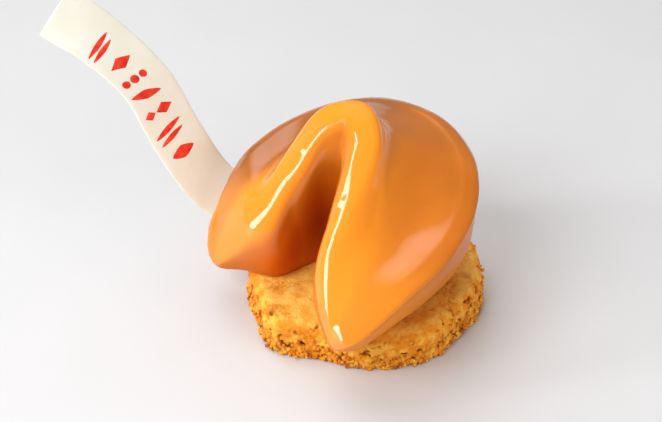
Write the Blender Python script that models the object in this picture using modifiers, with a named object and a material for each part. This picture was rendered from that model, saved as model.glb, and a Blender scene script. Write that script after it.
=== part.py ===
# A caramel-glazed cake in the form of a fortune cookie, resting on a round shortbread biscuit,
# with a curved chocolate slip tucked in under the rim of one lobe.
# Metres, +Z up. The origin is the middle of the biscuit's flat underside, and the two horns
# of the cookie point to -Y.

import math

import bmesh
import bpy
import numpy as np

MM = 0.001
GAP = 0.3                # clearance between pieces that touch, mm

# biscuit, mm
BISCUIT_RADIUS = 30.0
BISCUIT_HEIGHT = 10.0
BISCUIT_TOP_ROUND = 3.2      # round of the upper edge
BISCUIT_FOOT_ROUND = 1.0     # round of the lower edge
BISCUIT_CORNER = 3.2         # how far the blunt corner at the front stands out
BISCUIT_CORNER_ANGLE = math.radians(-83)
BISCUIT_WAVES = ((3, 0.5, 0.4), (5, 0.45, 2.1), (9, 0.25, 0.9))    # count, height in mm, phase
BISCUIT_CORNER_WIDTH = 0.42  # radians
BISCUIT_STEPS = 72

# cookie, mm: four guide lines, each from the middle of the back (x = 0) to the tip of the +X horn
# in equal steps; the -X half is their mirror image
SEAT = BISCUIT_HEIGHT + GAP
RIDGE_LINE = [(0, -3.2, 57.8), (4.2, -5.0, 56.2), (7.6, -8.6, 52.0), (10.0, -15.4, 41.4),
              (12.8, -23.4, 28.5), (21.2, -30.6, 16.8)]
RIM_LINE = [(0, 23.4, 43.6), (16.4, 19.2, 42.4), (27.8, 9.3, 38.4), (33.4, -4.8, 33.3),
            (32.4, -18.4, 27.0), (28.4, -31.4, 15.6)]
OUTER_FOOT_LINE = [(0, 20.0, SEAT), (12.5, 16.5, SEAT), (20.0, 8.0, SEAT), (22.2, -3.5, SEAT),
                   (22.6, -16.0, SEAT), (23.8, -28.4, SEAT)]
INNER_FOOT_LINE = [(0, -1.0, SEAT), (3.8, -2.5, SEAT), (6.8, -6.5, SEAT), (7.4, -13.5, SEAT),
                   (9.6, -21.5, SEAT), (18.4, -28.6, SEAT)]

# sizes of the cross-section at the same six places, mm
CREST_ROUND = (6.8, 6.6, 6.4, 6.0, 4.3, 1.5)           # round of the two ridges towards the notch
SHOULDER_REACH = (6.6, 5.8, 5.6, 7.5, 5.4, 2.2)        # how far the crest runs towards the rim
SHOULDER_DROP = (1.5, 1.3, 1.5, 2.3, 0.3, -0.2)        # and how far it has come down there
VALLEY_PLACE = (0.38, 0.33, 0.32, 0.54, 0.50, 0.50)    # share of the way from ridge to rim
VALLEY_DEPTH = (3.2, 2.6, 2.8, 2.6, 0.3, -0.4)         # below the straight line from ridge to rim
ROOF_PLACE = 0.76
ROOF_SWELL = (-1.5, -0.9, -0.7, -0.5, 0.3, 0.4)        # above that line
LIP_WIDTH = (3.2, 3.2, 3.2, 3.2, 3.0, 0.9)
LIP_RISE = (0.0, 0.1, 0.2, 0.3, 0.4, 0.3)
LIP_HEIGHT = (2.6, 2.6, 2.6, 2.6, 2.4, 1.2)
BAND_BULGE = (2.2, 2.2, 2.2, 2.2, 2.2, 1.2)            # swell of the side below the lip
WALL_BULGE = (2.2, 2.4, 2.8, 3.2, 3.0, 1.0)            # swell of the notch wall
FOOT_INSET = (2.2, 2.2, 2.2, 2.0, 1.6, 0.7)
# sideways shift of the crest alone, from the -X tip round to the +X tip
CREST_SHIFT = (-0.5, -1.8, -2.2, -2.1, -1.0, 0.2, 1.3, 1.6, 0.7, 0.0, 0.0)
# points of the crest as shares of its round: inwards and upwards from the ridge line
CREST_TOP = (-0.30, 0.04)
CREST_EDGE = (0.38, -0.22)
CREST_SIDE = (0.70, -0.85)
CREST_FOOT = (0.80, -1.75)
WAIST_SHARE = 0.45       # height of the widest part of side and wall, as a share of the rise
LIP_STEP = 0.55          # the side below the lip stands out by this much
FOOT_STEP = 0.3          # and the foot's edge by this much
FOOT_RISE = 0.6          # the foot's edge turns in at this height
FOOT_SINK = 0.5          # depth below the seat that is cut off flat

HOLLOW_MIDDLE = (21.0, -4.2, 38.0)    # dent at the low end of each valley
HOLLOW_WIDTH = 6.0
HOLLOW_DEPTH = 1.8
TIP_START = 0.91         # share of a horn's length where its rounded tip begins
TIP_HEIGHT = 2.6         # the end of a tip lies this high above the seat
TIP_FALL = 40.0          # how steeply the sections' middles come down to it
TIP_SAG = 3.2            # the -X horn droops this far beyond the biscuit's edge
SAG_REACH = (29.0, 39.0)      # between these distances from the middle
SAG_FRONT = (10.0, 24.0)      # and this far to the front
ALONG_CROWDING = 0.8     # steps along the horns are closer near the tips
ALONG_STEPS = 72
AROUND_STEPS = 40

# slip, mm: middle line from the buried end to the free end, and the direction across it
SLIP_MIDDLE = [(-23.5, -13.4, 15.6), (-34.2, -21.6, 23.2), (-39.6, -28.2, 38.6),
               (-43.8, -33.4, 54.6), (-50.2, -41.2, 66.8), (-56.5, -49.0, 75.1)]
SLIP_ACROSS = [(-0.15, 0.80, 0.57), (-0.08, 0.82, 0.57), (0.03, 0.91, 0.38),
               (-0.05, 0.97, 0.20), (-0.15, 0.90, 0.40), (-0.08, 0.74, 0.67)]
SLIP_WIDTH = 13.4
SLIP_THICKNESS = 1.1
SLIP_STEPS = 36
SLIP_CROSS_STEPS = 4
SLIP_LEAST_STEPS = 4
SLOT_END = 0.25          # the slot's cutter is the first part of the slip


def clear_scene():
    for item in list(bpy.data.objects):
        bpy.data.objects.remove(item)


def make_collection(name):
    collection = bpy.data.collections.new(name)
    bpy.context.scene.collection.children.link(collection)
    return collection


def make_material(name, colour, roughness):
    material = bpy.data.materials.new(name)
    material.use_nodes = True
    shader = material.node_tree.nodes["Principled BSDF"]
    shader.inputs["Base Color"].default_value = (*colour, 1.0)
    shader.inputs["Roughness"].default_value = roughness
    shader.inputs["Metallic"].default_value = 0.0
    material.diffuse_color = (*colour, 1.0)
    return material


def unit(vectors):
    return vectors / np.linalg.norm(vectors, axis=-1, keepdims=True)


def smooth_step(low, high, values):
    part = np.clip((values - low) / (high - low), 0.0, 1.0)
    return part * part * (3.0 - 2.0 * part)


def catmull_rom(a, b, c, d, part):
    # point between b and c at part (0 to 1), with a and d as the outer neighbours
    return 0.5 * (2 * b + (c - a) * part + (2 * a - 5 * b + 4 * c - d) * part ** 2
                  + (3 * b - a - 3 * c + d) * part ** 3)


def open_curve(points, places):
    # smooth curve through the points, read at places from 0 to 1
    points = np.array(points, float)
    spans = len(points) - 1
    position = np.clip(places * spans, 0, spans)
    index = np.minimum(position.astype(int), spans - 1)
    ends = np.concatenate([[2 * points[0] - points[1]], points, [2 * points[-1] - points[-2]]])
    corners = (ends[index + step] for step in range(4))
    return catmull_rom(*corners, (position - index)[:, None])


def closed_curves(keys, places):
    # one closed smooth curve for each row of keys, read at places from 0 to 1
    count = keys.shape[1]
    position = places * count
    index = position.astype(int)
    corners = (keys[:, (index + step) % count] for step in (-1, 0, 1, 2))
    return catmull_rom(*corners, (position - index)[None, :, None])


def mirrored_line(half):
    # the whole guide line, from the -X tip round the back to the +X tip
    half = np.array(half, float)
    return np.vstack([half[:0:-1] * (-1, 1, 1), half])


def size_along(half, places):
    # a section size read along the whole line from its six values, the same on both halves
    return open_curve([(value,) for value in half[:0:-1] + half], places)


def section_keys(places):
    # corners of the closed cross-sections: crest, valley, roof, lip, side, foot and notch wall
    wall_top, rim, outer_foot, inner_foot = (
        open_curve(mirrored_line(line), places)
        for line in (RIDGE_LINE, RIM_LINE, OUTER_FOOT_LINE, INNER_FOOT_LINE))
    crest, shoulder_reach, shoulder_drop, valley_place, valley_depth, roof_swell = (
        size_along(half, places)
        for half in (CREST_ROUND, SHOULDER_REACH, SHOULDER_DROP, VALLEY_PLACE, VALLEY_DEPTH, ROOF_SWELL))
    lip_width, lip_rise, lip_height, band_bulge, wall_bulge, inset = (
        size_along(half, places)
        for half in (LIP_WIDTH, LIP_RISE, LIP_HEIGHT, BAND_BULGE, WALL_BULGE, FOOT_INSET))
    ridge = wall_top + open_curve([(shift, 0, 0) for shift in CREST_SHIFT], places)
    span = np.linalg.norm(rim - ridge, axis=1, keepdims=True)
    chord = (rim - ridge) / span
    upright = np.array([0, 0, 1.0])
    up = unit(upright - chord * chord[:, 2:3])
    outward = unit(chord * (1, 1, 0))
    side = unit(outer_foot - rim)

    def crest_point(line, shares):
        return line - crest * (shares[0] * outward - shares[1] * upright)

    return np.stack([
        crest_point(ridge, CREST_TOP),
        ridge + chord * shoulder_reach - up * shoulder_drop,
        ridge + chord * span * valley_place - up * valley_depth,
        ridge + chord * span * ROOF_PLACE + up * roof_swell,
        rim - chord * lip_width + up * lip_rise,
        rim,
        rim + side * lip_height + outward * LIP_STEP,
        rim * WAIST_SHARE + outer_foot * (1 - WAIST_SHARE) + outward * band_bulge,
        outer_foot + upright * FOOT_RISE + outward * FOOT_STEP,
        outer_foot - outward * inset - upright * FOOT_SINK,
        inner_foot + outward * inset - upright * FOOT_SINK,
        inner_foot + upright * FOOT_RISE,
        wall_top * WAIST_SHARE + inner_foot * (1 - WAIST_SHARE) - outward * wall_bulge,
        crest_point(wall_top, CREST_FOOT),
        crest_point(wall_top, CREST_SIDE),
        crest_point((wall_top + ridge) / 2, CREST_EDGE),
    ], axis=1)


def cookie_surface():
    # grid of points: one closed section for each step along the horns, shrinking to a round tip
    bend = math.pi / 2 * ALONG_CROWDING
    along = np.sin(np.linspace(-bend, bend, ALONG_STEPS + 1)) / math.sin(bend)
    around = np.arange(AROUND_STEPS) / AROUND_STEPS
    sections = closed_curves(section_keys((along + 1) / 2), around)
    folded = np.abs(sections * (1, 0, 0)) + sections * (0, 1, 1)
    distance = np.linalg.norm(folded - HOLLOW_MIDDLE, axis=-1)
    sections[..., 2] -= HOLLOW_DEPTH * np.exp(-(distance / HOLLOW_WIDTH) ** 2)
    ending = np.clip((np.abs(along) - TIP_START) / (1 - TIP_START), 0, 1)
    shrink = np.sqrt(1 - ending ** 2)[:, None, None]
    centre = sections.mean(axis=1, keepdims=True)
    centre[:, 0, 2] = np.minimum(centre[:, 0, 2], SEAT + TIP_HEIGHT + TIP_FALL * (1 - ending))
    sections = centre + (sections - centre) * shrink
    sections[..., 2] = np.maximum(sections[..., 2], SEAT)
    reach = np.hypot(sections[..., 0], sections[..., 1])
    droop = TIP_SAG * smooth_step(*SAG_REACH, reach) * (sections[..., 0] < 0)
    sections[..., 2] -= droop * smooth_step(*SAG_FRONT, -sections[..., 1])
    return sections


def cookie_mesh(sections):
    # quads between neighbouring sections, and a fan of triangles to a single point at each tip
    rows, columns = sections.shape[:2]
    first = sections[0].mean(axis=0)
    last = sections[-1].mean(axis=0)
    points = np.vstack([first, sections[1:-1].reshape(-1, 3), last]) * MM
    row = np.arange(rows - 3)[:, None]
    column = np.arange(columns)[None, :]
    following = (column + 1) % columns
    quads = np.stack([1 + row * columns + column, 1 + row * columns + following,
                      1 + (row + 1) * columns + following, 1 + (row + 1) * columns + column], axis=-1)
    start = np.arange(columns)
    after = (start + 1) % columns
    final = 1 + (rows - 3) * columns
    fans = [(0, 1 + b, 1 + a) for a, b in zip(start, after)]
    fans += [(len(points) - 1, final + a, final + b) for a, b in zip(start, after)]
    mesh = bpy.data.meshes.new("glazed_cookie")
    mesh.from_pydata(points.tolist(), [], quads.reshape(-1, 4).tolist() + fans)
    face_outwards(mesh)
    return mesh


def face_outwards(mesh):
    shell = bmesh.new()
    shell.from_mesh(mesh)
    bmesh.ops.recalc_face_normals(shell, faces=shell.faces)
    shell.to_mesh(mesh)
    shell.free()
    mesh.validate()


def place(name, mesh, material, collection):
    piece = bpy.data.objects.new(name, mesh)
    collection.objects.link(piece)
    if material:
        mesh.materials.clear()
        mesh.materials.append(material)
    mesh.shade_smooth()
    return piece


def evaluated_mesh(piece, name):
    # the piece's mesh with its modifiers, as a mesh of its own
    bpy.context.view_layer.update()
    graph = bpy.context.evaluated_depsgraph_get()
    mesh = bpy.data.meshes.new_from_object(piece.evaluated_get(graph))
    mesh.name = name
    bpy.data.objects.remove(piece)
    return mesh


def arc(centre, radius, start, end, steps):
    angles = np.radians(np.linspace(start, end, steps))
    return [(centre[0] + radius * math.cos(angle), centre[1] + radius * math.sin(angle)) for angle in angles]


def biscuit_mesh(collection):
    # turned profile, outer side from top to bottom, then pushed out of round
    top = arc((BISCUIT_RADIUS - BISCUIT_TOP_ROUND, BISCUIT_HEIGHT - BISCUIT_TOP_ROUND),
              BISCUIT_TOP_ROUND, 90, 0, 6)
    foot = arc((BISCUIT_RADIUS - BISCUIT_FOOT_ROUND, BISCUIT_FOOT_ROUND), BISCUIT_FOOT_ROUND, 0, -90, 4)
    profile = [(0, BISCUIT_HEIGHT)] + top + foot + [(0, 0)]
    mesh = bpy.data.meshes.new("profile")
    mesh.from_pydata([(x * MM, 0, z * MM) for x, z in profile], [],
                     [(i, i + 1) for i in range(len(profile) - 1)])
    turned = place("turned", mesh, None, collection)
    screw = turned.modifiers.new("turn", "SCREW")
    screw.steps = BISCUIT_STEPS
    screw.render_steps = BISCUIT_STEPS
    screw.use_merge_vertices = True
    screw.merge_threshold = 0.00001
    mesh = evaluated_mesh(turned, "biscuit_base")

    points = np.empty(len(mesh.vertices) * 3)
    mesh.vertices.foreach_get("co", points)
    points = points.reshape(-1, 3)
    angle = np.arctan2(points[:, 1], points[:, 0])
    away = (angle - BISCUIT_CORNER_ANGLE + math.pi) % (2 * math.pi) - math.pi
    swell = BISCUIT_CORNER * np.exp(-(away / BISCUIT_CORNER_WIDTH) ** 2)
    for count, height, phase in BISCUIT_WAVES:
        swell = swell + height * np.cos(count * angle + phase)
    stretch = 1 + swell / BISCUIT_RADIUS
    points[:, :2] *= stretch[:, None]
    mesh.vertices.foreach_set("co", points.ravel())
    mesh.update()
    face_outwards(mesh)
    return mesh


def slip_sheet(name, end, widen, thickness, material, collection):
    # ruled surface along the slip from its buried end to the share `end`, thickened both ways
    steps = max(SLIP_LEAST_STEPS, round(SLIP_STEPS * end))
    along = np.linspace(0, end, steps + 1)
    middle = open_curve(SLIP_MIDDLE, along)
    across = unit(open_curve(SLIP_ACROSS, along))
    half = SLIP_WIDTH / 2 + widen
    middle[0] -= unit(middle[1:2] - middle[0:1])[0] * widen
    places = np.linspace(-half, half, SLIP_CROSS_STEPS + 1)
    points = middle[:, None] + across[:, None] * places[None, :, None]
    columns = SLIP_CROSS_STEPS + 1
    faces = [(r * columns + c, r * columns + c + 1, (r + 1) * columns + c + 1, (r + 1) * columns + c)
             for r in range(steps) for c in range(SLIP_CROSS_STEPS)]
    mesh = bpy.data.meshes.new(name)
    mesh.from_pydata((points.reshape(-1, 3) * MM).tolist(), [], faces)
    sheet = place(name, mesh, material, collection)
    solid = sheet.modifiers.new("thickness", "SOLIDIFY")
    solid.thickness = thickness * MM
    solid.offset = 0.0
    solid.use_even_offset = True
    return sheet


def build():
    clear_scene()
    parts = make_collection("fortune_cookie")
    cutters = make_collection("cutters")
    glaze = make_material("caramel_glaze", (0.66, 0.24, 0.03), 0.2)
    baked = make_material("baked_shortbread", (0.56, 0.28, 0.06), 0.85)
    cream = make_material("cream_chocolate", (0.90, 0.86, 0.72), 0.45)

    place("biscuit_base", biscuit_mesh(parts), baked, parts)
    cookie = place("glazed_cookie", cookie_mesh(cookie_surface()), glaze, parts)
    slip_sheet("fortune_slip", 1.0, 0.0, SLIP_THICKNESS, cream, parts)

    slot = slip_sheet("slip_slot", SLOT_END, GAP, SLIP_THICKNESS + 2 * GAP, None, cutters)
    slot.hide_render = True
    slot.display_type = "WIRE"
    cut = cookie.modifiers.new("slot", "BOOLEAN")
    cut.operation = "DIFFERENCE"
    cut.solver = "EXACT"
    cut.object = slot


build()
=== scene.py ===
import math

import bpy
import numpy as np
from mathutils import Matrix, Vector


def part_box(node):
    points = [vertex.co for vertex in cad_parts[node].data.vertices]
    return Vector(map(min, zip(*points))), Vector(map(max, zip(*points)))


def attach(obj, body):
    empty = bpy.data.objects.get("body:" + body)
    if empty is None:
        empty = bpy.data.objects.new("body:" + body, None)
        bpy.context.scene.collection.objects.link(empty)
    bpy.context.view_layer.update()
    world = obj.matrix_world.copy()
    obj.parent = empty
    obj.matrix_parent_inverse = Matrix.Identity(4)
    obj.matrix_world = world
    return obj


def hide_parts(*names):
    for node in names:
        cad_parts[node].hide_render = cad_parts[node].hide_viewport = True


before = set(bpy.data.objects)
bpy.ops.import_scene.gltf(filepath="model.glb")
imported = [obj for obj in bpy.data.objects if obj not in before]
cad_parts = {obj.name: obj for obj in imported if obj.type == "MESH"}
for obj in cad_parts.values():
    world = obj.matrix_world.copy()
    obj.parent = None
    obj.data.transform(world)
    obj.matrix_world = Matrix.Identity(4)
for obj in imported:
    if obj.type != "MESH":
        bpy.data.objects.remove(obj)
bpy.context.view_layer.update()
mm = 0.001
print("frame loaded:", sorted(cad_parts))


def unit(vectors):
    # each vector divided by its length
    return vectors / np.maximum(np.linalg.norm(vectors, axis=-1, keepdims=True), 1e-12)


def smoothStep(low, high, values):
    # 0 below low, 1 above high and 3 t^2 - 2 t^3 between them
    part = np.clip((values - low) / (high - low), 0.0, 1.0)
    return part * part * (3.0 - 2.0 * part)


def smoothBand(low, high, values):
    # a smooth step up over the pair low and a smooth step down again over the pair high
    return smoothStep(*low, values) * (1 - smoothStep(*high, values))


def splinePoint(a, b, c, d, part):
    # Catmull-Rom: the cubic that runs from b to c with the slopes (c - a) / 2 and (d - b) / 2
    return 0.5 * (2 * b + (c - a) * part + (2 * a - 5 * b + 4 * c - d) * part ** 2
                  + (3 * b - a - 3 * c + d) * part ** 3)


def openCurve(points, places):
    # smooth curve through the points, read at places from 0 to 1; the end slopes run straight on
    points = np.array(points, float)
    spans = len(points) - 1
    position = np.clip(places * spans, 0, spans)
    index = np.minimum(position.astype(int), spans - 1)
    ends = np.concatenate([[2 * points[0] - points[1]], points, [2 * points[-1] - points[-2]]])
    corners = (ends[index + step] for step in range(4))
    return splinePoint(*corners, (position - index)[:, None])


def closedCurves(keys, places):
    # one closed smooth curve for each row of keys, read at places from 0 to 1
    count = keys.shape[1]
    position = places * count
    index = position.astype(int)
    corners = (keys[:, (index + step) % count] for step in (-1, 0, 1, 2))
    return splinePoint(*corners, (position - index)[None, :, None])


def latticeShare(cells, seed):
    # a fixed share from 0 to 1 for each whole-number cell, by multiplying and folding its bits
    mixed = cells[..., 0] * 73856093 ^ cells[..., 1] * 19349663 ^ cells[..., 2] * 83492791 ^ seed * 39916801
    mixed = (mixed ^ mixed >> 15) * 2246822519 & 0xffffffff
    mixed = (mixed ^ mixed >> 13) * 3266489917 & 0xffffffff
    return (mixed ^ mixed >> 16) / 0xffffffff


def softNoise(points, size, seed):
    # value noise from -1 to 1: lattice shares blended by the smooth step of the place in the cell
    scaled = points / size
    low = np.floor(scaled).astype(np.int64)
    part = scaled - low
    part = part * part * (3 - 2 * part)
    total = 0
    for corner in np.ndindex(2, 2, 2):
        weight = np.prod(np.where(corner, part, 1 - part), axis=-1)
        total = total + weight * latticeShare(low + np.array(corner), seed)
    return 2 * total - 1


def roughNoise(points, size, seed, layers=4):
    # soft noise summed over layers, each at half the size and half the height of the last
    total = sum(softNoise(points, size / 2 ** layer, seed + layer) / 2 ** layer for layer in range(layers))
    return total / (2 - 2 ** (1 - layers))


def cellDistance(points, size, seed):
    # distance, in cells, to the nearest of the points that lie one in each cell
    scaled = points / size
    low = np.floor(scaled).astype(np.int64)
    nearest = np.full(points.shape[:-1], 9.0)
    for step in np.ndindex(3, 3, 3):
        cell = low + np.array(step) - 1
        seedPoint = cell + np.stack([latticeShare(cell, seed + axis) for axis in range(3)], axis=-1)
        nearest = np.minimum(nearest, np.linalg.norm(scaled - seedPoint, axis=-1))
    return nearest


def gridNormals(points):
    # unit cross product of the central differences along rows and along columns, which points out
    across = np.roll(points, -1, axis=1) - np.roll(points, 1, axis=1)
    return unit(np.cross(np.gradient(points, axis=0), across))


def tubeFaces(rows, columns):
    # quads of a grid whose columns close into a ring, facing out where rows x columns does
    row = np.arange(rows - 1)[:, None]
    column = np.arange(columns)[None, :]
    after = (column + 1) % columns
    here, below = row * columns, (row + 1) * columns
    return np.stack((here + column, below + column, below + after, here + after), axis=-1).reshape(-1, 4)


def closedTube(sections):
    # a stack of rings with a fan to one middle point at each end: points, quads and triangles
    rows, columns = sections.shape[:2]
    points = np.vstack([sections.reshape(-1, 3), sections[0].mean(axis=0), sections[-1].mean(axis=0)])
    start = np.arange(columns)
    after = (start + 1) % columns
    last = (rows - 1) * columns
    head = np.stack([np.full(columns, rows * columns), start, after], axis=-1)
    tail = np.stack([np.full(columns, rows * columns + 1), last + after, last + start], axis=-1)
    return points, tubeFaces(rows, columns), np.vstack([head, tail])


def joinedTubes(stacks):
    # several closed tubes as one mesh, each tube's corner numbers moved past the points before it
    tubes = [closedTube(sections) for sections in stacks]
    starts = np.cumsum([0] + [len(tube[0]) for tube in tubes[:-1]])
    points = np.vstack([tube[0] for tube in tubes])
    quads, triangles = (np.vstack([tube[part] + start for tube, start in zip(tubes, starts)])
                        for part in (1, 2))
    return points, quads, triangles


def meshPiece(name, shape, material, nodes=(), attributes=None):
    # one mesh object in place at the origin; shape is points in mm, quads and triangles
    points, quads, triangles = shape
    mesh = bpy.data.meshes.new(name)
    corners = np.concatenate([quads.ravel(), triangles.ravel()]).astype(np.int32)
    sizes = np.concatenate([np.full(len(quads), 4), np.full(len(triangles), 3)]).astype(np.int32)
    mesh.vertices.add(len(points))
    mesh.vertices.foreach_set("co", (points * mm).astype(np.float32).ravel())
    mesh.loops.add(len(corners))
    mesh.loops.foreach_set("vertex_index", corners)
    mesh.polygons.add(len(sizes))
    mesh.polygons.foreach_set("loop_start", (np.cumsum(sizes) - sizes).astype(np.int32))
    mesh.polygons.foreach_set("loop_total", sizes)
    for label, values in (attributes or {}).items():
        attribute = mesh.attributes.new(label, "FLOAT", "POINT")
        attribute.data.foreach_set("value", values.astype(np.float32).ravel())
    mesh.update(calc_edges=True)
    mesh.validate()
    mesh.shade_smooth()
    mesh.materials.append(material)
    piece = bpy.data.objects.new(name, mesh)
    bpy.context.scene.collection.objects.link(piece)
    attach(piece, "root")
    if nodes:
        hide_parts(*nodes)
    print(f"{name}: {len(points)} points, {int((sizes - 2).sum())} triangles")


class Wire:
    # a socket that takes part in sums; each operator adds one Math node
    def __init__(self, paint, socket):
        self.paint = paint
        self.socket = socket

    def maths(self, operation, first, second):
        return self.paint.node("ShaderNodeMath", {"operation": operation}, {0: first, 1: second})

    def __add__(self, other):
        return self.maths("ADD", self, other)

    def __sub__(self, other):
        return self.maths("SUBTRACT", self, other)

    def __rsub__(self, other):
        return self.maths("SUBTRACT", other, self)

    def __mul__(self, other):
        return self.maths("MULTIPLY", self, other)

    __radd__ = __add__
    __rmul__ = __mul__


class Paint:
    # the nodes of a material or of the world, added one call at a time before its main shader
    def __init__(self, owner):
        self.owner = owner
        self.owner.use_nodes = True
        self.tree = owner.node_tree
        self.shader = next(node for node in self.tree.nodes if node.type in ("BSDF_PRINCIPLED", "BACKGROUND"))

    def node(self, kind, settings=None, inputs=None, output=0):
        made = self.tree.nodes.new(kind)
        for name, value in (settings or {}).items():
            setattr(made, name, value)
        for name, value in (inputs or {}).items():
            self.feed(made.inputs[name], value)
        return Wire(self, made.outputs[output])

    def feed(self, socket, value):
        # a link for a wire, a plain value for anything else; colours get a full alpha
        if isinstance(value, Wire):
            self.tree.links.new(value.socket, socket)
        elif isinstance(value, tuple) and len(value) == 3 and len(socket.default_value) == 4:
            socket.default_value = (*value, 1.0)
        else:
            socket.default_value = value

    def mix(self, factor, first, second):
        return self.node("ShaderNodeMix", {"data_type": "RGBA"}, {0: factor, 6: first, 7: second}, output=2)

    def attribute(self, name):
        return self.node("ShaderNodeAttribute", {"attribute_name": name}, output=2)

    def noise(self, scale, detail=3.0, roughness=0.5):
        # scale in cycles per metre on Object coordinates
        place = self.node("ShaderNodeTexCoord", output=3)
        inputs = {"Vector": place, "Scale": scale, "Detail": detail, "Roughness": roughness}
        return self.node("ShaderNodeTexNoise", {}, inputs)

    def step(self, value, low, high, out=(0.0, 1.0)):
        settings = {"interpolation_type": "SMOOTHSTEP"}
        return self.node("ShaderNodeMapRange", settings, {0: value, 1: low, 2: high, 3: out[0], 4: out[1]})

    def bump(self, height, distance, strength):
        return self.node("ShaderNodeBump", {}, {"Height": height, "Distance": distance, "Strength": strength})

    def finish(self, inputs):
        for name, value in inputs.items():
            self.feed(self.shader.inputs[name], value)
        return self.owner


cookie = {
    # guide lines in mm from the middle of the back to the tip of the +X horn; the other half mirrors them
    "ridge": [(0, -3.2, 57.8), (4.2, -5.0, 56.2), (7.6, -8.6, 52.0), (10.0, -15.4, 41.4),
              (12.8, -23.4, 28.5), (21.2, -30.6, 16.8)],
    "rim": [(0, 23.4, 43.6), (16.4, 19.2, 42.4), (27.8, 9.3, 38.4), (33.4, -4.8, 33.3),
            (32.4, -18.4, 27.0), (28.4, -31.4, 15.6)],
    "outerFoot": [(0, 20.0), (12.5, 16.5), (20.0, 8.0), (22.2, -3.5), (22.6, -16.0), (23.8, -28.4)],
    "innerFoot": [(0, -1.0), (3.8, -2.5), (6.8, -6.5), (7.4, -13.5), (9.6, -21.5), (18.4, -28.6)],
    # section sizes in mm at the same six places
    "crest": (6.8, 6.6, 6.4, 6.0, 4.3, 1.5),
    "shoulderReach": (6.6, 5.8, 5.6, 7.5, 5.4, 2.2),
    "shoulderDrop": (1.5, 1.3, 1.5, 2.3, 0.3, -0.2),
    "valleyPlace": (0.38, 0.33, 0.32, 0.54, 0.50, 0.50),
    "valleyDepth": (3.2, 2.6, 2.8, 2.6, 0.3, -0.4),
    "roofSwell": (-1.5, -0.9, -0.7, -0.5, 0.3, 0.4),
    "lipWidth": (3.2, 3.2, 3.2, 3.2, 3.0, 0.9),
    "lipRise": (0.0, 0.1, 0.2, 0.3, 0.4, 0.3),
    "lipHeight": (2.6, 2.6, 2.6, 2.6, 2.4, 1.2),
    # sideways shift of the crest alone, from the -X tip round to the +X tip
    "crestShift": (-0.5, -1.8, -2.2, -2.1, -1.0, 0.2, 1.3, 1.6, 0.7, 0.0, 0.0),
    "bandBulge": (2.2, 2.2, 2.2, 2.2, 2.2, 1.2),
    "wallBulge": (2.2, 2.4, 2.8, 3.2, 3.0, 1.0),
    "footInset": (2.2, 2.2, 2.2, 2.0, 1.6, 0.7),
    # hollow at the low end of each valley: its middle, its width and its depth
    "hollow": ((21.0, -4.2, 38.0), 6.0, 1.8),
    "seatGap": 0.3,
    # near the tips the sections are drawn towards their own lowest waves, more on the -X horn
    "plumpOrder": 2.4,
    "plumpScale": 1.24,
    "plumpReach": (0.62, 0.86),
    "plumpShares": (0.9, 0.15),
    "tipStart": 0.91,
    "tipHeight": 2.6,
    "tipSag": 5.2,
    "sagReach": (29.0, 39.0),
    "sagFront": (10.0, 24.0),
    "alongSteps": 340,
    "aroundSteps": 288,
    "crowding": 0.8,  # how much closer the sections stand at the tips
    # uneven flow of the glaze: height, size and seed of each noise, and the height over which it fades in
    "flow": ((0.10, 9.0, 3), (0.035, 3.2, 8)),
    "flowStart": (0.5, 3.0),
    # small wrinkles in the set glaze: place, radius and height
    "wrinkles": [((-9.2, -13.3, 45.4), 0.9, 0.16), ((-8.0, -11.6, 48.2), 0.7, -0.07),
                 ((7.8, -16.0, 40.8), 0.9, 0.16), ((8.6, -15.0, 42.8), 0.7, -0.08),
                 ((24.5, 14.0, 42.0), 1.1, 0.12), ((26.0, 11.5, 41.2), 0.9, -0.10),
                 ((27.4, -10.0, 31.5), 1.0, 0.10)],
    # shares of the way round a section: notch wall, crest before and after the start, and roof
    "wall": ((0.66, 0.74), (0.78, 0.92)),
    "crestSides": ((0.84, 0.96), (0.0, 0.16)),
    "roof": ((0.06, 0.14), (0.26, 0.34)),
    "glaze": ((0.62, 0.174, 0.011), (0.58, 0.158, 0.009)),
    # tones laid over the glaze by mask: painted light on the crests and tips, then painted shade on the left
    # roof, low in the notch and in the slit
    "maskColours": {"thin": (0.88, 0.282, 0.013), "shade": (0.42, 0.120, 0.012),
                    "deep": (0.68, 0.125, 0.003), "slit": (0.30, 0.040, 0.002)},
    "glossLoss": {"under": 0.75, "arch": 0.85, "deep": 0.5},
}
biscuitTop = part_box("biscuit_base")[1].z / mm
seat = biscuitTop + cookie["seatGap"]


def wholeLine(half):
    # a guide line from the -X tip round the back to the +X tip, at the seat's height if it has none
    half = np.array([point if len(point) == 3 else (*point, seat) for point in half], float)
    return np.vstack([half[:0:-1] * (-1, 1, 1), half])


def sizeAlong(name, places):
    # a section size read along the whole line from its six values, the same on both halves
    half = cookie[name]
    return openCurve([(value,) for value in half[:0:-1] + half], places)


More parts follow.
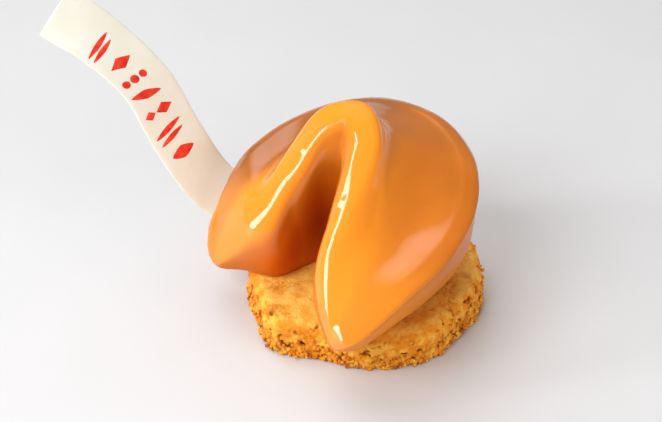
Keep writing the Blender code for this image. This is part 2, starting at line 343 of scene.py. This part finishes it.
def cookieKeys(places):
    # corners of each closed section: round crest, valley, swelling roof, lip, side band, foot and
    # notch wall, set out from the chord between ridge and rim
    ridge, rim, outerFoot, innerFoot = (openCurve(wholeLine(cookie[line]), places)
                                        for line in ("ridge", "rim", "outerFoot", "innerFoot"))
    crest, shoulderReach, shoulderDrop = (sizeAlong(name, places) for name in (
        "crest", "shoulderReach", "shoulderDrop"))
    valleyPlace, valleyDepth, roofSwell, lipWidth, lipRise = (sizeAlong(name, places) for name in (
        "valleyPlace", "valleyDepth", "roofSwell", "lipWidth", "lipRise"))
    lipHeight, bandBulge, wallBulge, inset = (sizeAlong(name, places) for name in (
        "lipHeight", "bandBulge", "wallBulge", "footInset"))
    wallTop = ridge
    ridge = ridge + openCurve([(shift, 0, 0) for shift in cookie["crestShift"]], places)
    span = np.linalg.norm(rim - ridge, axis=1, keepdims=True)
    chord = (rim - ridge) / span
    upright = np.array([0, 0, 1.0])
    up = unit(upright - chord * chord[:, 2:3])
    outward = unit(chord * (1, 1, 0))
    side = unit(outerFoot - rim)
    return np.stack([
        ridge + crest * (0.30 * outward + 0.04 * upright),  # crest
        ridge + chord * shoulderReach - up * shoulderDrop,  # shoulder
        ridge + chord * span * valleyPlace - up * valleyDepth,  # valley
        ridge + chord * span * 0.76 + up * roofSwell,  # roof
        rim - chord * lipWidth + up * lipRise,  # lip
        rim,  # rim
        rim + side * lipHeight + outward * 0.55,  # under the rim
        rim * 0.45 + outerFoot * 0.55 + outward * bandBulge,  # side band
        outerFoot + upright * 0.6 + outward * 0.3,  # outer foot
        outerFoot - outward * inset - upright * 0.5,  # underside, outer edge
        innerFoot + outward * inset - upright * 0.5,  # underside, inner edge
        innerFoot + upright * 0.6,  # inner foot
        wallTop * 0.45 + innerFoot * 0.55 - outward * wallBulge,  # notch wall
        wallTop - crest * (0.80 * outward + 1.75 * upright),  # wall top
        wallTop - crest * (0.70 * outward + 0.85 * upright),  # under the crest
        (wallTop + ridge) / 2 - crest * (0.38 * outward + 0.22 * upright),  # crest, notch side
    ], axis=1)


def cookieSections(along, around):
    # closed sections along the horns, plumper at the tips where high waves k fade by exp(-(k / n)^4),
    # with a bell-shaped hollow exp(-(d / width)^2) in each roof, drawn together to a round tip by
    # sqrt(1 - t^2) and cut flat at the seat; the -X horn droops past the biscuit's edge
    sections = closedCurves(cookieKeys((along + 1) / 2), around)
    order = np.fft.fftfreq(len(around), 1 / len(around))[:, None]
    keep = np.where(order == 0, 1.0, cookie["plumpScale"] * np.exp(-(order / cookie["plumpOrder"]) ** 4))
    plump = np.fft.ifft(np.fft.fft(sections, axis=1) * keep, axis=1).real
    share = smoothStep(*cookie["plumpReach"], np.abs(along)) * np.where(along < 0, *cookie["plumpShares"])
    sections = sections + (plump - sections) * share[:, None, None]
    middle, width, depth = cookie["hollow"]
    distance = np.linalg.norm(np.abs(sections * (1, 0, 0)) + sections * (0, 1, 1) - middle, axis=-1)
    sections[..., 2] -= depth * np.exp(-(distance / width) ** 2)
    ending = np.clip((np.abs(along) - cookie["tipStart"]) / (1 - cookie["tipStart"]), 0, 1)
    shrink = np.sqrt(1 - ending ** 2)[:, None, None]
    centre = sections.mean(axis=1, keepdims=True)
    centre[:, 0, 2] = np.minimum(centre[:, 0, 2], seat + cookie["tipHeight"] + 40 * (1 - ending))
    sections = centre + (sections - centre) * shrink
    sections[..., 2] = np.maximum(sections[..., 2], seat)
    reach = np.hypot(sections[..., 0], sections[..., 1])
    droop = cookie["tipSag"] * smoothStep(*cookie["sagReach"], reach) * (sections[..., 0] < 0)
    sections[..., 2] -= droop * smoothStep(*cookie["sagFront"], -sections[..., 1])
    return sections


def cookieMasks(sections, outwards, along, around):
    # shares from 0 to 1 of the glaze's painted light on the crests and tips, its painted shade on the left
    # roof, in the notch and in the slit, and its gloss losses: products of smooth steps in height, depth and
    # place
    x, y, z = (sections[..., axis] for axis in range(3))
    reach = np.abs(along)[:, None]
    station = along[:, None] * 5
    before, after = cookie["crestSides"]
    wall = smoothBand(*cookie["wall"], around)
    crest = smoothStep(*before, around) + 1 - smoothStep(*after, around)
    return {
        # painted shade: darker, redder glaze low on the notch walls, over caramel pooled thicker there
        "deep": wall * (1 - smoothStep(18.0, 46.0, z)) * (1 - 0.7 * smoothStep(0.80, 0.96, reach)),
        # painted shadow: near-black glaze in the narrow slit between the horns
        "slit": 0.8 * wall * smoothStep(-22.0, -10.0, y) * (1 - smoothStep(22.0, 40.0, z)),
        "arch": smoothStep(0.80, 0.84, around) * smoothBand((-1.75, -1.35), (0.85, 1.1), station),
        # painted light: lighter glaze along the crests and towards the tips, where the lights fall
        "thin": np.clip(crest + 0.55 * smoothStep(0.58, 0.86, reach) - wall, 0, 1),
        # painted shade: the left horn's roof darkened for the shade and the dim room that it mirrors
        "shade": smoothBand(*cookie["roof"], around) * smoothStep(2.0, 12.0, -x)
        * (1 - smoothStep(0.74, 0.88, reach)),
        "under": 1 - smoothStep(-0.30, 0.15, outwards[..., 2]),
    }


def glazeMaterial():
    # two caramel tones that drift into each other, then the painted light and painted shade of each mask,
    # under a clear coat
    paint = Paint(bpy.data.materials.new("caramelGlaze"))
    colour = paint.mix(paint.step(paint.noise(90.0, 2.0), 0.3, 0.7), *cookie["glaze"])
    # each mask in turn lays its painted light (crests, tips) or its painted shade (roof, notch, slit) over
    # the caramel
    for name, tone in cookie["maskColours"].items():
        colour = paint.mix(paint.attribute(name), colour, tone)
    gloss = 1.0
    for name, loss in cookie["glossLoss"].items():
        gloss = gloss - loss * paint.attribute(name)
    return paint.finish({
        "Base Color": colour,
        "Roughness": 0.5,
        "Specular IOR Level": 0.1,
        "Normal": paint.bump(paint.noise(420.0, 2.0), 0.00006, 0.35),
        "Coat Weight": gloss,
        "Coat Roughness": 0.03,
        "Coat IOR": 1.5,
        "Subsurface Weight": 0.25,
        "Subsurface Radius": (0.004, 0.0015, 0.0005),
        "Subsurface Scale": 1.0,
    })


def makeCookie():
    # the sections moved along their normals by flow noise and bell-shaped wrinkles h exp(-(d / r)^2);
    # the places along are sines, sin(u) / sin(bend), which crowd towards the tips
    bend = cookie["crowding"] * math.pi / 2
    along = (np.sin(np.linspace(-bend, bend, cookie["alongSteps"] + 1)) / math.sin(bend))[1:-1]
    around = np.arange(cookie["aroundSteps"]) / cookie["aroundSteps"]
    sections = cookieSections(along, around)
    outwards = gridNormals(sections)
    wave = sum(height * softNoise(sections, size, seed) for height, size, seed in cookie["flow"])
    for place, radius, height in cookie["wrinkles"]:
        wave = wave + height * np.exp(-(np.linalg.norm(sections - place, axis=-1) / radius) ** 2)
    low, high = cookie["flowStart"]
    free = smoothStep(seat + low, seat + high, sections[..., 2])
    sections = sections + outwards * (wave * free)[..., None]
    masks = {name: np.append(values.ravel(), [0.0, 0.0])  # the two poles get none
             for name, values in cookieMasks(sections, outwards, along, around).items()}
    meshPiece("cookieGlaze", closedTube(sections), glazeMaterial(), ["glazed_cookie"], masks)


makeCookie()


biscuit = {
    "radius": 29.5,
    "topRound": 3.2,
    "footRound": 1.0,
    # one blunt corner in the outline and a few waves: count, height and phase
    "corner": 2.9,
    "cornerWidth": 0.27,
    "cornerAngle": math.radians(-83),
    "waves": ((3, 0.5, 0.4), (5, 0.45, 2.1), (9, 0.25, 0.9)),
    "aroundSteps": 760,
    "poleRadius": 0.5,
    "hiddenRadius": 13.0,
    "rows": {"hidden": 8, "top": 50, "bend": 22, "side": 26, "under": 16},
    # heights in mm of each kind of relief on the side and on the top
    "sideRelief": {"lumps": 0.30, "crumbs": 0.42, "smallCrumbs": 0.30, "pits": -0.75, "fray": 0.75,
                   "fissures": -0.15},
    "topRelief": {"lumps": 0.14, "crumbs": 0.09, "smallCrumbs": 0.08, "pits": -0.08, "fray": 0.0,
                  "fissures": -0.16},
    # size in mm of each kind's noise; a pit starts at the first share of its noise, less the second at
    # the foot, and is full deep at pitFull
    "sizes": {"lumps": 6.0, "crumbs": 1.5, "smallCrumbs": 0.8, "pits": 1.9, "fray": 2.2, "fissures": 4.5},
    "pitStart": (0.22, 0.14),
    "pitFull": 0.46,
    "fissureWidth": 0.035,
    "coveredRadius": 23.0,  # under the cake the top rises no more than coveredRise
    "coveredRise": 0.2,
    "smoothTop": (14.0, 20.0),
    "lowBand": (2.0, 6.5),
    "topTones": ((0.86, 0.37, 0.040), (0.97, 0.58, 0.110)),
    "sideTones": ((0.78, 0.265, 0.014), (0.96, 0.49, 0.060)),
    # the next two tones are painted shade: browner in the low relief, near-black in the deepest side pits
    "hollowShade": (0.55, 0.15, 0.009),
    "pitShadow": (0.22, 0.050, 0.004),
    "pale": (0.97, 0.64, 0.18),
}


def biscuitProfile():
    # half section from the middle of the top to the middle of the underside: distance out and height
    radius, height, hidden = biscuit["radius"], biscuitTop, biscuit["hiddenRadius"]
    top, foot, pole, rows = biscuit["topRound"], biscuit["footRound"], biscuit["poleRadius"], biscuit["rows"]
    bend = np.linspace(0, math.pi / 2, rows["bend"])
    out = np.concatenate([
        np.linspace(pole, hidden, rows["hidden"])[:-1],
        np.linspace(hidden, radius - top, rows["top"])[:-1],
        radius - top + top * np.sin(bend),
        np.full(rows["side"] - 2, radius),
        radius - foot + foot * np.cos(bend[::3]),
        np.linspace(radius - foot, pole, rows["under"])[1:],
    ])
    up = np.concatenate([
        np.full(rows["hidden"] + rows["top"] - 2, height),
        height - top + top * np.cos(bend),
        np.linspace(height - top, foot, rows["side"])[1:-1],
        foot - foot * np.sin(bend[::3]),
        np.zeros(rows["under"] - 1),
    ])
    return out, up


def biscuitSwell(angle):
    # what the edge lies outside its circle: a corner exp(-(away / width)^2) and a few cosine waves
    away = (angle - biscuit["cornerAngle"] + math.pi) % (2 * math.pi) - math.pi
    swell = biscuit["corner"] * np.exp(-(away / biscuit["cornerWidth"]) ** 2)
    for count, height, phase in biscuit["waves"]:
        swell = swell + height * np.cos(count * angle + phase)
    return swell


def biscuitMaterial():
    # golden top and side tones by cloud noise, with painted shade that browns the low relief and darkens the
    # deepest pits on the side, and paler on the high
    paint = Paint(bpy.data.materials.new("bakedShortbread"))
    relief = paint.attribute("relief")
    side = paint.attribute("side")
    mottle = paint.noise(300.0, 4.0, 0.6)
    grain = paint.noise(1700.0, 3.0, 0.6)
    topTone = paint.mix(paint.step(mottle, 0.36, 0.62), *biscuit["topTones"])
    sideTone = paint.mix(paint.step(mottle, 0.40, 0.66), *biscuit["sideTones"])
    tone = paint.mix(side, topTone, sideTone)
    # painted shade: browner in the low relief, more so on the side
    tone = paint.mix(paint.step(relief, 0.46, 0.16) * (0.5 + 0.5 * side), tone, biscuit["hollowShade"])
    # painted shadow: near-black in the deepest pits of the side
    tone = paint.mix(paint.step(relief, 0.20, 0.02) * side, tone, biscuit["pitShadow"])
    tone = paint.mix(paint.step(relief + (grain - 0.5) * 0.4, 0.66, 0.95) * 0.6, tone, biscuit["pale"])
    return paint.finish({
        "Base Color": tone,
        "Roughness": 0.5 + 0.2 * grain,
        "Specular IOR Level": 0.2,
        "Normal": paint.bump(grain, 0.0003, 0.7),
        "Subsurface Weight": 0.12,
        "Subsurface Radius": (0.0015, 0.0006, 0.0002),
        "Subsurface Scale": 1.0,
    })


def biscuitRelief(points, low):
    # kinds of relief, each from about -1 to 1: lumps, round crumbs (half less the distance to the
    # nearest middle), pits, fine fissures where a noise crosses zero, and the frayed foot
    sizes = biscuit["sizes"]
    start, lower = biscuit["pitStart"]
    hollows = roughNoise(points * (1, 1, 1.3), sizes["pits"], seed=41)
    cracks = np.abs(roughNoise(points, sizes["fissures"], seed=61))
    return {
        "lumps": roughNoise(points, sizes["lumps"], seed=11),
        "crumbs": 0.5 - cellDistance(points, sizes["crumbs"], seed=21),
        "smallCrumbs": 0.5 - cellDistance(points, sizes["smallCrumbs"], seed=31),
        "pits": smoothStep(start - lower * low, biscuit["pitFull"], hollows),
        "fissures": 1 - smoothStep(0.0, biscuit["fissureWidth"], cracks),
        "fray": low * roughNoise(points * (1, 1, 0.5), sizes["fray"], seed=71),
    }


def makeBiscuit():
    # the profile turned round the middle, (r cos a, r sin a, z), stretched to the outline and moved
    # along its normals by the sum of each kind of relief times its height
    out, up = biscuitProfile()
    angle = np.linspace(0, 2 * math.pi, biscuit["aroundSteps"], endpoint=False)
    stretch = 1 + biscuitSwell(angle) / biscuit["radius"]
    flat = out[:, None] * stretch[None, :]
    height = np.broadcast_to(up[:, None], flat.shape)
    points = np.stack([flat * np.cos(angle), flat * np.sin(angle), height], axis=-1)
    side = smoothStep(biscuit["radius"] - 3.0, biscuit["radius"] - 0.4, out)[:, None] * np.ones_like(angle)
    rough = smoothStep(*biscuit["smoothTop"], out)[:, None] * smoothStep(0.0, 1.2, up)[:, None]
    low = 1 - smoothStep(*biscuit["lowBand"], up)[:, None]
    kinds = biscuitRelief(points, low)
    depth = sum((side * biscuit["sideRelief"][kind] + (1 - side) * biscuit["topRelief"][kind]) * values
                for kind, values in kinds.items()) * rough
    covered = (out < biscuit["coveredRadius"])[:, None] & (up > biscuitTop / 2)[:, None]
    depth = np.where(covered, np.minimum(depth, biscuit["coveredRise"]), depth)
    # brightness of the relief for the material, which sets its painted shade in the hollows: half plus depth
    # over its range, darker at the foot
    relief = 0.5 + (depth - 0.6 * kinds["fray"] * side) / (0.40 + 1.3 * side) - 0.12 * low * side
    points = points + gridNormals(points) * depth[..., None]
    points[..., 2] = np.maximum(points[..., 2], 0.0)
    attributes = {"relief": np.append(np.clip(relief, 0, 1).ravel(), [0.5, 0.5]),
                  "side": np.append(side.ravel(), [0.0, 0.0])}
    meshPiece("shortbread", closedTube(points), biscuitMaterial(), ["biscuit_base"], attributes)


makeBiscuit()


slip = {
    "middle": [(-23.5, -13.4, 15.6), (-34.2, -21.6, 23.2), (-39.6, -28.2, 38.6),
               (-43.8, -33.4, 54.6), (-50.2, -41.2, 66.8), (-56.5, -49.0, 75.1)],
    "across": [(-0.15, 0.80, 0.57), (-0.08, 0.82, 0.57), (0.03, 0.91, 0.38),
               (-0.05, 0.97, 0.20), (-0.15, 0.90, 0.40), (-0.08, 0.74, 0.67)],
    "width": 13.4,
    "thickness": 1.1,
    "squareness": 0.35,  # power of sine and cosine in the section: 1 is round, 0 is square
    "alongSteps": 240,
    "aroundSteps": 64,
    "lengthPlaces": 400,
    "tones": ((0.87, 0.870, 0.755), (0.91, 0.910, 0.84)),
}


def slipFrame(places):
    # middle line, unit vector across and unit vector out of the upper face at places from 0 to 1
    middle = openCurve(slip["middle"], places)
    across = unit(openCurve(slip["across"], places))
    face = unit(np.cross(across, unit(np.gradient(middle, axis=0))))
    return middle, across, face


def slipLength():
    # the middle line's length, summed over a chain of short straight steps
    middle = openCurve(slip["middle"], np.linspace(0, 1, slip["lengthPlaces"]))
    return np.linalg.norm(np.diff(middle, axis=0), axis=1).sum()


def slipMaterial():
    # two cream tones in soft clouds, with a satin finish
    paint = Paint(bpy.data.materials.new("creamChocolate"))
    cloud = paint.noise(120.0, 3.0)
    return paint.finish({
        "Base Color": paint.mix(paint.step(cloud, 0.3, 0.7), *slip["tones"]),
        "Roughness": 0.42 + 0.14 * cloud,
        "Normal": paint.bump(paint.noise(700.0, 2.0), 0.00008, 0.4),
        "Subsurface Weight": 0.08,
        "Subsurface Radius": (0.0008, 0.0006, 0.0004),
        "Subsurface Scale": 1.0,
    })


def makeSlip():
    # a flat section, half width times cos^n and half thickness times sin^n, along the middle line
    middle, across, face = slipFrame(np.linspace(0, 1, slip["alongSteps"]))
    turn = np.linspace(0, 2 * math.pi, slip["aroundSteps"], endpoint=False)
    power = slip["squareness"]
    wide = np.sign(np.cos(turn)) * np.abs(np.cos(turn)) ** power * slip["width"] / 2
    thick = np.sign(np.sin(turn)) * np.abs(np.sin(turn)) ** power * slip["thickness"] / 2
    sections = middle[:, None] + across[:, None] * wide[:, None] + face[:, None] * thick[:, None]
    meshPiece("fortuneSlip", closedTube(sections), slipMaterial(), ["fortune_slip"])


makeSlip()


marks = {
    # each mark: place along the slip, shift, half length across, half width along (mm), roundness, turn
    "shapes": [(0.799, -1.5, 4.1, 0.80, 1.5, 0.16), (0.774, -1.9, 3.7, 0.74, 1.5, 0.16),
               (0.706, -1.2, 3.2, 1.75, 1.0, 0.0),
               (0.638, -4.3, 1.05, 1.05, 2.0, 0.0), (0.638, -1.7, 1.15, 1.15, 2.0, 0.0),
               (0.638, 0.9, 1.00, 1.00, 2.0, 0.0),
               (0.578, -1.8, 4.1, 1.20, 1.3, -0.22),
               (0.512, -3.7, 1.60, 1.15, 1.0, 0.0), (0.512, 0.4, 2.40, 1.50, 1.0, 0.0),
               (0.448, -1.2, 4.2, 0.80, 1.5, 0.18), (0.421, -1.2, 3.8, 0.72, 1.5, 0.18),
               (0.362, -0.9, 3.3, 1.55, 1.3, -0.10)],
    "height": 0.16,
    "rootDepth": 0.3,  # how far a mark reaches into the slip
    "innerShare": 0.1,  # size of the ring round each pole
    "frameSteps": 1000,
    "columns": 28,
    "rows": 7,
    "tones": ((0.78, 0.020, 0.014), (0.92, 0.075, 0.030)),
}


def markMaterial():
    # two reds in small clouds
    paint = Paint(bpy.data.materials.new("redIcing"))
    cloud = paint.noise(500.0, 3.0)
    return paint.finish({
        "Base Color": paint.mix(paint.step(cloud, 0.35, 0.7), *marks["tones"]),
        "Roughness": 0.4 + 0.2 * cloud,
        "Normal": paint.bump(cloud, 0.0001, 0.5),
        "Subsurface Weight": 0.1,
        "Subsurface Radius": (0.001, 0.0003, 0.0002),
    })


def markSections(shape):
    # one low pad on the upper face: outline |x/a|^n + |y/b|^n = 1 turned, domed by h (1 - share^4)
    along, shift, halfAcross, halfAlong, roundness, turn = shape
    angle = np.linspace(0, 2 * math.pi, marks["columns"], endpoint=False)
    reach = (np.abs(np.cos(angle)) ** roundness + np.abs(np.sin(angle)) ** roundness) ** (-1 / roundness)
    flatX, flatY = halfAcross * reach * np.cos(angle), halfAlong * reach * np.sin(angle)
    inner = marks["innerShare"]
    share = np.concatenate([np.linspace(inner, 1, marks["rows"]), [1.0, inner]])
    dome = np.concatenate([marks["height"] * (1 - share[:-2] ** 4), [-marks["rootDepth"]] * 2])
    height = dome + slip["thickness"] / 2
    across = share[:, None] * (flatX * math.cos(turn) - flatY * math.sin(turn)) + shift
    forward = share[:, None] * (flatX * math.sin(turn) + flatY * math.cos(turn))
    steps = marks["frameSteps"]
    place = (along + forward / slipLength()) * steps
    index = np.clip(place.astype(int), 0, steps - 1)
    part = (place - index)[..., None]
    middle, sideways, face = (line[index] * (1 - part) + line[index + 1] * part
                              for line in slipFrame(np.linspace(0, 1, steps + 1)))
    return middle + sideways * across[..., None] + face * height[:, None, None]


def makeMarks():
    # every mark's closed pad, all in one piece
    pads = joinedTubes([markSections(shape) for shape in marks["shapes"]])
    meshPiece("slipMarks", pads, markMaterial())


makeMarks()


crumbs = {
    "count": 1500,
    "seed": 7,
    "size": (0.20, 0.66),
    "lowest": 0.3,
    "heightSpread": 2.0,
    "topGap": 2.0,
    "inset": (-0.15, 0.28),  # mean and spread of the distance from the biscuit's edge
    "unevenness": 0.4,
    "poleMargin": 0.15,  # angle in radians left open at both poles
    "rows": 5,
    "columns": 7,
}


def makeCrumbs():
    # uneven balls stuck to the biscuit's side, most at its foot: radius times 1 + 0.4 noise
    draw = np.random.default_rng(crumbs["seed"])
    count = crumbs["count"]
    angle = draw.uniform(0.0, 2 * math.pi, count)
    size = draw.uniform(*crumbs["size"], count)[:, None, None, None]
    fall = draw.exponential(crumbs["heightSpread"], count)
    height = np.minimum(crumbs["lowest"] + fall, biscuitTop - crumbs["topGap"])
    reach = biscuit["radius"] + biscuitSwell(angle) + draw.normal(*crumbs["inset"], count)
    margin = crumbs["poleMargin"]
    rise = np.linspace(margin, math.pi - margin, crumbs["rows"])[:, None]
    turn = np.linspace(0, 2 * math.pi, crumbs["columns"], endpoint=False)
    across = np.sin(rise)
    ball = np.stack([across * np.cos(turn), across * np.sin(turn), np.cos(rise) + 0 * turn], axis=-1)
    middle = np.stack([reach * np.cos(angle), reach * np.sin(angle), height], axis=-1)[:, None, None]
    uneven = 1 + crumbs["unevenness"] * softNoise(ball[None] + middle * 3.1, 0.8, seed=5)
    balls = middle + ball[None] * size * uneven[..., None]
    balls[..., 2] = np.maximum(balls[..., 2], 0.0)
    shape = joinedTubes(balls)
    attributes = {"relief": np.clip(0.40 + 0.40 * softNoise(shape[0], 1.2, seed=9), 0, 1),
                  "side": np.ones(len(shape[0]))}
    meshPiece("crustCrumbs", shape, bpy.data.materials["bakedShortbread"], (), attributes)


makeCrumbs()


studio = {
    "azimuth": math.radians(50.8),
    "elevation": math.radians(38.2),
    "distance": 0.4024,
    "aim": Vector((-0.0153, 0.0009, 0.0158)),
    "lens": 85.0,
    "sensorWidth": 36.0,
    "clipStart": 0.01,
    "airStrength": 0.22,
    "glowStrength": 2.9,
    "glowEdge": 0.78,
    "glowDirection": (-0.563, 0.09, 0.821),
    "lightAim": Vector((0.0, 0.0, 0.03)),
    # lights: place to the right, up and towards the viewer in metres, width, height, watts, colour
    # and whether the glaze mirrors it
    "lights": {
        "strip": ((-0.90, -0.04, 0.14), 0.15, 1.15, 6.3, (1.0, 1.0, 1.0), True),
        "fill": ((-0.45, 0.18, 0.72), 0.55, 0.55, 5.8, (1.0, 1.0, 1.0), False),
        "bounce": ((0.62, -0.12, 0.52), 0.40, 0.40, 2.4, (1.0, 0.91, 0.78), False),
    },
    "floorSize": 6.0,
    "floorGap": 0.0001,
    "floorTones": ((0.62, 0.62, 0.63), (0.66, 0.66, 0.67)),
}


def viewFrame():
    # unit vectors to the right, upwards and forwards in the picture
    turn, rise = studio["azimuth"], studio["elevation"]
    right = Vector((math.cos(turn), math.sin(turn), 0.0))
    forward = Vector((-math.sin(turn) * math.cos(rise), math.cos(turn) * math.cos(rise), -math.sin(rise)))
    return right, right.cross(forward), forward


def addTurned(name, data, place, direction):
    # an object at the place that looks along the direction
    added = bpy.data.objects.new(name, data)
    added.location = place
    added.rotation_euler = direction.to_track_quat("-Z", "Y").to_euler()
    bpy.context.scene.collection.objects.link(added)
    return added


def makeCamera():
    # behind the aim by the distance, looking forwards
    forward = viewFrame()[2]
    lens = bpy.data.cameras.new("camera")
    lens.lens = studio["lens"]
    lens.sensor_width = studio["sensorWidth"]
    lens.clip_start = studio["clipStart"]
    place = studio["aim"] - forward * studio["distance"]
    bpy.context.scene.camera = addTurned("camera", lens, place, forward)


def makeLights():
    # rectangular lights, each facing the cake
    right, up, forward = viewFrame()
    for name, (place, width, height, power, colour, mirrored) in studio["lights"].items():
        light = bpy.data.lights.new(name, "AREA")
        light.shape = "RECTANGLE"
        light.size = width
        light.size_y = height
        light.energy = power
        light.color = colour
        stand = studio["lightAim"] + right * place[0] + up * place[1] - forward * place[2]
        addTurned(name, light, stand, studio["lightAim"] - stand).visible_glossy = mirrored


def makeAir():
    # even light from all round, with a soft glow overhead: smooth step of the cosine to its middle
    paint = Paint(bpy.data.worlds.new("studioAir"))
    direction = paint.node("ShaderNodeTexCoord")
    middle = tuple(Vector(studio["glowDirection"]).normalized())
    settings = {"operation": "DOT_PRODUCT"}
    cosine = paint.node("ShaderNodeVectorMath", settings, {0: direction, 1: middle}, output=1)
    glow = paint.step(cosine, studio["glowEdge"], 1.0, (studio["airStrength"], studio["glowStrength"]))
    bpy.context.scene.world = paint.finish({"Color": (1.0, 1.0, 1.0), "Strength": glow})


def makeFloor():
    # a plain pale floor just under the biscuit
    paint = Paint(bpy.data.materials.new("paleFloor"))
    tone = paint.mix(paint.noise(30.0, 3.0), *studio["floorTones"])
    place = (0.0, 0.0, -studio["floorGap"])
    bpy.ops.mesh.primitive_plane_add(size=studio["floorSize"], location=place)
    floor = bpy.context.object
    floor.name = "floor"
    floor.data.materials.append(paint.finish({"Base Color": tone, "Roughness": 0.5}))


makeCamera()
makeFloor()
makeAir()
makeLights()
bpy.context.scene.view_settings.view_transform = "Standard"
print("studio ready:", ", ".join(studio["lights"]))
